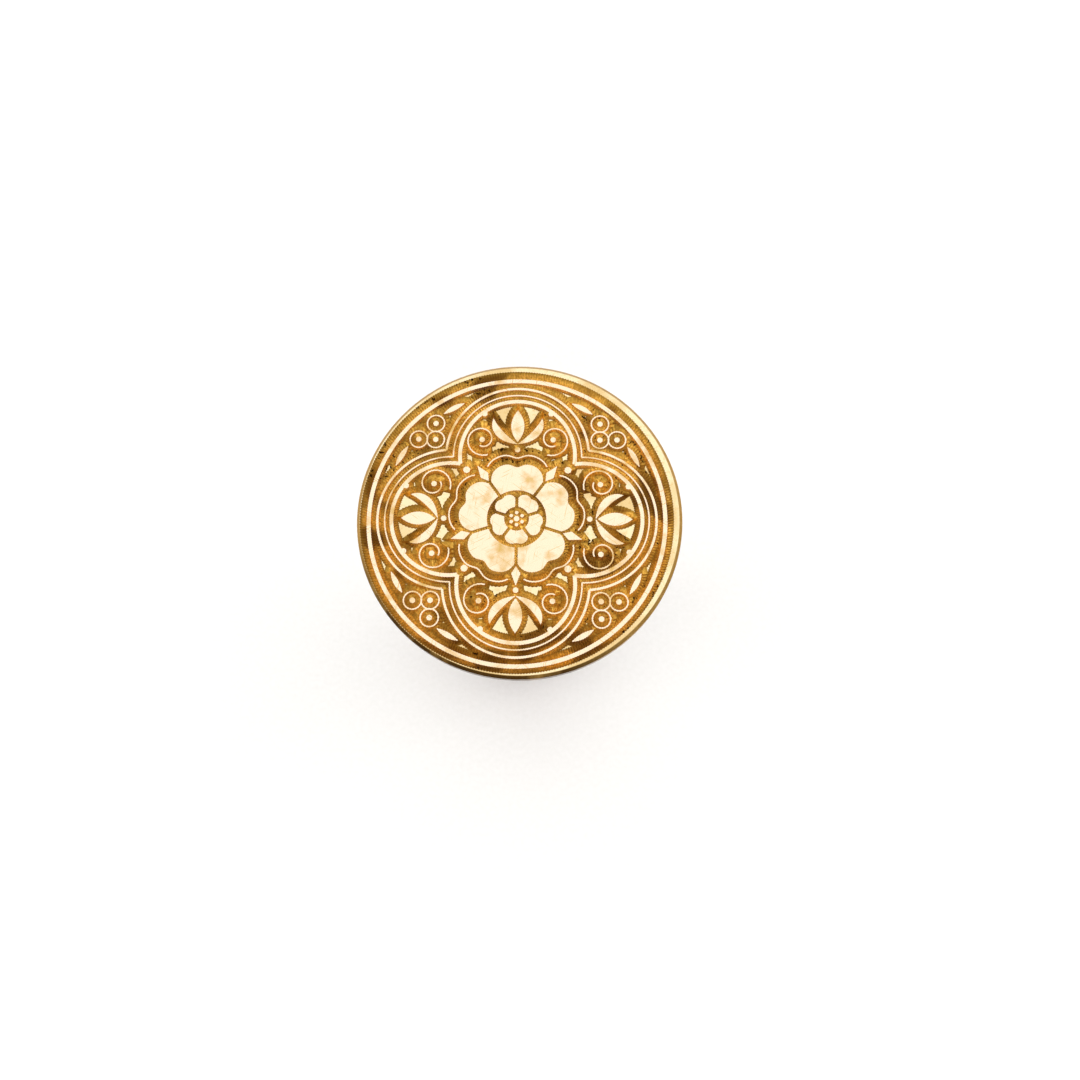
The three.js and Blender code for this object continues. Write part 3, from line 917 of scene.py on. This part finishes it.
def thread_parts(bottom, top, gap):
    """The helix and the core of a right-hand thread."""
    buried = 0.1
    crest = THREAD_RADIUS + gap
    core = crest - THREAD_DEPTH
    half_foot = (THREAD_FOOT + gap) / 2 * (1 + buried / THREAD_DEPTH)
    half_crest = 0.04
    section = [
        (core - buried, -half_foot),
        (crest, -half_crest),
        (crest, half_crest),
        (core - buried, half_foot),
    ]
    sides = len(section)
    turns = math.ceil((top - bottom) / THREAD_PITCH) + 2
    start = math.floor(bottom / THREAD_PITCH) - 1
    steps = turns * THREAD_SIDES
    corners = []
    for i in range(steps + 1):
        angle = 2 * math.pi * i / THREAD_SIDES
        height = (start + i / THREAD_SIDES) * THREAD_PITCH
        for radius, rise in section:
            corners.append((radius * math.cos(angle), radius * math.sin(angle), height + rise))
    faces = []
    for i in range(steps):
        for k in range(sides):
            a = i * sides + k
            b = i * sides + (k + 1) % sides
            faces.append((a, a + sides, b + sides, b))
    faces.append(tuple(range(sides)))
    faces.append(tuple(steps * sides + k for k in range(sides - 1, -1, -1)))
    return [mesh_from("helix", corners, faces), bar_between(bottom, top, core)]


def threaded(bottom, top, gap):
    """A thread on its core, cut square at both ends."""
    whole = joined(thread_parts(bottom, top, gap))
    keep = bar_between(bottom, top, THREAD_RADIUS + gap + OVERSHOOT)
    return joined([whole, keep], "INTERSECT")


def head_profile():
    underside_top = RIM_BOTTOM - RIM_CHAMFER
    low = HEAD_SEAT + NECK_LENGTH
    share = np.linspace(0, 1, UNDERSIDE_STEPS + 1)
    radii = NECK_RADIUS + (HEAD_RADIUS - RIM_CHAMFER - NECK_RADIUS) * (1 - np.cos(math.pi * share)) / 2
    heights = low + (underside_top - low) * share
    return [
        (0, HEAD_SEAT),
        (NECK_RADIUS - NECK_CHAMFER, HEAD_SEAT),
        (NECK_RADIUS, HEAD_SEAT + NECK_CHAMFER),
        *zip(radii.tolist(), heights.tolist()),
        (HEAD_RADIUS, RIM_BOTTOM),
        (HEAD_RADIUS, FACE - RIM_BEVEL),
        (HEAD_RADIUS - RIM_BEVEL, FACE),
        (0, FACE),
    ]


def head_mesh(polished, engraved):
    """The blank is polished, and each surface that a cut leaves is engraved."""
    mouth = THREAD_RADIUS + THREAD_GAP + COUNTERSINK
    countersink = [
        (0, HEAD_SEAT - OVERSHOOT),
        (mouth + OVERSHOOT, HEAD_SEAT - OVERSHOOT),
        (mouth - COUNTERSINK, HEAD_SEAT + COUNTERSINK),
        (0, HEAD_SEAT + COUNTERSINK),
    ]
    blank = turned("blank", head_profile(), HEAD_SIDES)
    bore = threaded(HEAD_SEAT - OVERSHOOT, HEAD_SEAT + BORE_DEPTH, THREAD_GAP)
    cuts = [*engraving(), bore, turned("countersink", countersink)]
    blank.materials.append(polished)
    for each in cuts:
        each.materials.append(engraved)
    return joined([blank, *cuts], "DIFFERENCE")


def washer_mesh():
    return turned(
        "washer",
        [
            (WASHER_INNER_RADIUS, WASHER_BOTTOM),
            (WASHER_OUTER_RADIUS, WASHER_BOTTOM),
            (WASHER_OUTER_RADIUS, WASHER_TOP),
            (WASHER_INNER_RADIUS, WASHER_TOP),
        ],
    )


def ferrule_mesh():
    share = np.linspace(0, 1, BEAD_STEPS + 1)
    bead = zip(
        (FERRULE_RADIUS + FERRULE_BEAD * np.sin(math.pi * share)).tolist(),
        (FERRULE_BOTTOM + FERRULE_BEAD_HEIGHT * share).tolist(),
    )
    return turned(
        "ferrule",
        [
            (STUD_HOLE_RADIUS, FERRULE_TOP),
            (STUD_HOLE_RADIUS, FERRULE_CEILING),
            (FERRULE_BORE_RADIUS, FERRULE_CEILING),
            (FERRULE_BORE_RADIUS, FERRULE_BOTTOM),
            *bead,
            *rounded(FERRULE_RADIUS, FERRULE_TOP, FERRULE_EDGE),
        ],
    )


def insert_mesh():
    bottom = GRIP_LENGTH - INSERT_LENGTH
    pitch = INSERT_LENGTH / BARBS
    barbs = []
    for i in range(BARBS):
        start = bottom + i * pitch
        barbs.append((INSERT_RADIUS - BARB_DEPTH, start))
        barbs.append((INSERT_RADIUS, start + pitch - BARB_LIP))
    return turned(
        "insert",
        [
            (INSERT_BORE_RADIUS, bottom),
            *barbs,
            (INSERT_RADIUS, GRIP_LENGTH),
            (INSERT_BORE_RADIUS, GRIP_LENGTH),
        ],
    )


def stud_mesh():
    shank = [
        (0, SHANK_BOTTOM),
        (SHANK_RADIUS - STUD_CHAMFER, SHANK_BOTTOM),
        (SHANK_RADIUS, SHANK_BOTTOM + STUD_CHAMFER),
        (SHANK_RADIUS, FERRULE_CEILING),
        (0, FERRULE_CEILING),
    ]
    point = [
        (0, SHANK_BOTTOM - OVERSHOOT),
        (THREAD_RADIUS + OVERSHOOT, SHANK_BOTTOM - OVERSHOOT),
        (THREAD_RADIUS + OVERSHOOT, STUD_TOP - STUD_CHAMFER - OVERSHOOT),
        (THREAD_RADIUS - STUD_CHAMFER, STUD_TOP),
        (0, STUD_TOP),
    ]
    whole = joined([threaded(THREAD_BOTTOM, STUD_TOP, 0), turned("shank", shank)])
    return joined([whole, turned("point", point)], "INTERSECT")


def grip_outline():
    """The grip's long curve as (radius, height) pairs, through its four driving points."""
    points = [
        Vector((GRIP_END_RADIUS, GRIP_END_CHAMFER)),
        Vector((BELLY_RADIUS, BELLY_HEIGHT)),
        Vector((WAIST_RADIUS, WAIST_HEIGHT)),
        Vector((FERRULE_RADIUS, GRIP_SHOULDER)),
    ]
    rows = []
    spans = len(points) - 1
    for span in range(spans):
        before = points[max(span - 1, 0)]
        start, end = points[span], points[span + 1]
        after = points[min(span + 2, spans)]
        steps = GRIP_STEPS + 1 if span == spans - 1 else GRIP_STEPS
        for i in range(steps):
            t = i / GRIP_STEPS
            rows.append(
                0.5
                * (
                    2 * start
                    + (end - before) * t
                    + (2 * before - 5 * start + 4 * end - after) * t**2
                    + (3 * start - before - 3 * end + after) * t**3
                )
            )
    return [(row.x, row.y) for row in rows]


def grip_mesh():
    return turned(
        "grip",
        [
            (0, 0),
            (GRIP_END_RADIUS - GRIP_END_CHAMFER, 0),
            *grip_outline(),
            (TENON_RADIUS, GRIP_SHOULDER),
            (TENON_RADIUS, GRIP_LENGTH),
            (GRIP_BORE_RADIUS, GRIP_LENGTH),
            (GRIP_BORE_RADIUS, GRIP_BORE_BOTTOM),
            (0, GRIP_BORE_BOTTOM),
        ],
    )


# What a user can change

def millimetres(name, description, default, least=0.0):
    """A size in metres, as Blender keeps it, from a default and a least value in millimetres."""
    return bpy.props.FloatProperty(
        name=name,
        description=description,
        default=default * MM,
        min=least * MM,
        precision=6,
        subtype="DISTANCE",
        unit="LENGTH",
    )


def hex_colour(name, description, default):
    """A colour that Blender keeps as linear values, from a default in sRGB hex."""
    return bpy.props.FloatVectorProperty(
        name=name,
        description=description,
        default=linear(default),
        min=0.0,
        max=1.0,
        size=4,
        subtype="COLOR",
    )


class SealSizes(bpy.types.PropertyGroup):
    """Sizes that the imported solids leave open"""

    # The real strokes are half as long, too fine to show.
    stroke: millimetres("Cutter stroke", "Length of one stroke along a cut", 0.24, least=0.1)
    edge_relief: millimetres(
        "Relief at edges", "How far strokes stand in and out at a wall's foot and top", 0.015
    )
    wall_relief: millimetres("Relief on walls", "How far they stand in and out halfway up", 0.07)
    growth_year: millimetres("Growth ring", "Width of a year's growth in the wood", 0.9, least=0.2)
    floor_width: millimetres("Floor", "Width of the paper under the seal", 3000.0, least=50.0)


class SealFinish(bpy.types.PropertyGroup):
    """Colours of the finishes"""

    polished: hex_colour("Polished brass", "Colour of the face", "#F0DCB0")
    rim: hex_colour("Rim", "Colour of the rim and the underside", "#B68C48")
    floor: hex_colour("Floors", "Colour of the floors of the cuts", "#F4DDBE")
    smudge: hex_colour("Smudges", "Colour of smudges, scratches and pits", "#D2AC68")
    wall: hex_colour("Walls", "Colour of the walls of the cuts", "#F0BC58")
    wall_dark: hex_colour("Walls, dark grain", "Colour of the grain on the walls", "#BC8E38")
    tarnish_and_edge_shade: hex_colour("Tarnish", "Colour of tarnished patches on the walls", "#A27A30")
    stain: hex_colour("Stains", "Colour of dark stains on the walls", "#6A3E0C")
    dirt_and_rim_shade: hex_colour("Dirt", "Colour of the dirt and burrs along the ridges", "#3A2006")
    turned: hex_colour("Turned brass", "Colour of the ferrule and the insert", "#D2A658")
    zinc: hex_colour("Zinc", "Colour of the stud", "#CBCED2")
    fibre: hex_colour("Fibre", "Colour of the washer", "#9C3B26")
    wood: hex_colour("Wood", "Colour of the wood between its growth lines", "#6B2A18")
    wood_dark: hex_colour("Wood, dark", "Colour of the growth lines", "#260C08")


class SEAL_OT_head(bpy.types.Operator):
    """Turns and engraves the brass head"""

    bl_idname = "seal.head"
    bl_label = "Engraved head"

    def execute(self, context):
        finish = context.scene.seal_finish
        mesh = head_mesh(polished_brass(finish), engraved_brass(finish))
        place_piece("engraved_head", mesh, None, "head", "seal_head")
        return {"FINISHED"}


class SEAL_OT_washer(bpy.types.Operator):
    """Punches the fibre washer"""

    bl_idname = "seal.washer"
    bl_label = "Washer"

    def execute(self, context):
        fibre = vulcanised_fibre(context.scene.seal_finish)
        place_piece("punched_washer", washer_mesh(), fibre, "lifting_washer", "washer")
        return {"FINISHED"}


class SEAL_OT_fittings(bpy.types.Operator):
    """Turns the ferrule, the insert and the stud"""

    bl_idname = "seal.fittings"
    bl_label = "Ferrule, insert and stud"

    def execute(self, context):
        brass = turned_brass(context.scene.seal_finish)
        steel = zinc_plated_steel(context.scene.seal_finish)
        place_piece("turned_ferrule", ferrule_mesh(), brass, "handle", "ferrule")
        place_piece("barbed_insert", insert_mesh(), brass, "handle", "insert")
        place_piece("threaded_stud", stud_mesh(), steel, "handle", "stud")
        return {"FINISHED"}


class SEAL_OT_grip(bpy.types.Operator):
    """Turns the wooden grip"""

    bl_idname = "seal.grip"
    bl_label = "Grip"

    def execute(self, context):
        scene = context.scene
        wood = lacquered_rosewood(scene.seal_finish, scene.seal_sizes.growth_year)
        place_piece("turned_grip", grip_mesh(), wood, "handle", "grip")
        return {"FINISHED"}


def camera_from_photograph(scene):
    """The camera looks at the ring of the face from 16 degrees off its axis. Distances and lengths
    are in millimetres, and the shift is a share of the picture."""
    tilt = math.radians(16.2)
    swing = math.radians(5.4)
    roll = math.radians(0.79)
    distance = 103.3
    focal_length = 37.28
    shift = (0.0217, -0.0198)
    back = Vector(
        (
            math.sin(tilt) * math.sin(swing),
            -math.sin(tilt) * math.cos(swing),
            math.cos(tilt),
        )
    )
    right = Vector((0, 1, 0)).cross(back).normalized()
    up = back.cross(right)
    across = math.cos(roll) * right + math.sin(roll) * up
    upward = -math.sin(roll) * right + math.cos(roll) * up
    target = Vector((ENGRAVING_SHIFT.real, ENGRAVING_SHIFT.imag, FACE - CUT_DEPTH))
    camera = bpy.data.objects.new("camera", bpy.data.cameras.new("camera"))
    camera.data.lens = focal_length
    camera.data.sensor_width = 36
    camera.data.shift_x, camera.data.shift_y = shift
    camera.data.clip_start = 0.01
    camera.data.clip_end = 10
    turn = Matrix((across, upward, back)).transposed().to_4x4()
    camera.matrix_world = Matrix.Translation((target + distance * back) * MM) @ turn
    scene.collection.objects.link(camera)
    scene.camera = camera


def soft_light(name, position, size, power):
    """A square light that faces the seal, placed and sized in metres, with its power in watts."""
    target = (0, 0, 0.05)
    light = bpy.data.lights.new(name, "AREA")
    light.shape = "SQUARE"
    light.size = size
    light.energy = power
    lamp = bpy.data.objects.new(name, light)
    lamp.location = position
    way = Vector(position) - Vector(target)
    lamp.rotation_mode = "QUATERNION"
    lamp.rotation_quaternion = way.to_track_quat("Z", "Y")
    bpy.context.scene.collection.objects.link(lamp)


def studio_world():
    """Soft light from all round, a little weaker towards the top."""
    world = bpy.data.worlds.new("studio")
    world.use_nodes = True
    tree = world.node_tree
    tree.nodes.clear()
    way = add(tree, "ShaderNodeSeparateXYZ", {"Vector": (add(tree, "ShaderNodeTexCoord"), "Generated")})
    strength = add(tree, "ShaderNodeMapRange", {"Value": (way, "Z"), "To Min": 0.6, "To Max": 0.5})
    background = add(tree, "ShaderNodeBackground", {"Color": (1, 1, 1, 1), "Strength": strength})
    add(tree, "ShaderNodeOutputWorld", {"Surface": background})
    return world


class SEAL_OT_stage(bpy.types.Operator):
    """Lays the floor, lights it and sets up the camera"""

    bl_idname = "seal.stage"
    bl_label = "Floor, light and camera"

    def execute(self, context):
        scene = context.scene
        half = scene.seal_sizes.floor_width / 2
        corners = [(-half, -half, 0), (half, -half, 0), (half, half, 0), (-half, half, 0)]
        mesh = bpy.data.meshes.new("floor")
        mesh.from_pydata(corners, [], [(0, 1, 2, 3)])
        mesh.materials.append(matt_paper())
        floor = bpy.data.objects.new("floor", mesh)
        scene.collection.objects.link(floor)
        soft_light("overhead", (0.0, 0.45, 0.9), size=1.4, power=5.0)
        soft_light("front", (0.0, -1.0, 0.85), size=1.0, power=5.5)
        soft_light("left", (-1.2, -0.25, 0.7), size=1.0, power=5.0)
        soft_light("right", (1.0, 0.1, 1.0), size=1.0, power=4.5)
        scene.view_settings.view_transform = "Standard"
        scene.world = studio_world()
        camera_from_photograph(scene)
        return {"FINISHED"}


class SEAL_PT_panel(bpy.types.Panel):
    """Lists the seal's sizes, colours and pieces"""

    bl_label = "Seal"
    bl_idname = "SEAL_PT_panel"
    bl_space_type = "VIEW_3D"
    bl_region_type = "UI"
    bl_category = "Seal"

    def draw(self, context):
        layout = self.layout
        for group in (context.scene.seal_sizes, context.scene.seal_finish):
            for name in group.bl_rna.properties.keys():
                if name not in ("rna_type", "name"):
                    layout.prop(group, name)
        for operator in OPERATORS:
            layout.operator(operator.bl_idname)


OPERATORS = (SEAL_OT_head, SEAL_OT_washer, SEAL_OT_fittings, SEAL_OT_grip, SEAL_OT_stage)
CLASSES = (SealSizes, SealFinish, *OPERATORS, SEAL_PT_panel)


def register():
    for each in CLASSES:
        bpy.utils.register_class(each)
    bpy.types.Scene.seal_sizes = bpy.props.PointerProperty(type=SealSizes)
    bpy.types.Scene.seal_finish = bpy.props.PointerProperty(type=SealFinish)


def unregister():
    del bpy.types.Scene.seal_finish
    del bpy.types.Scene.seal_sizes
    for each in reversed(CLASSES):
        bpy.utils.unregister_class(each)


def main():
    register()
    bpy.ops.seal.head()
    bpy.ops.seal.washer()
    bpy.ops.seal.fittings()
    bpy.ops.seal.grip()
    bpy.ops.seal.stage()


if __name__ == "__main__":
    main()
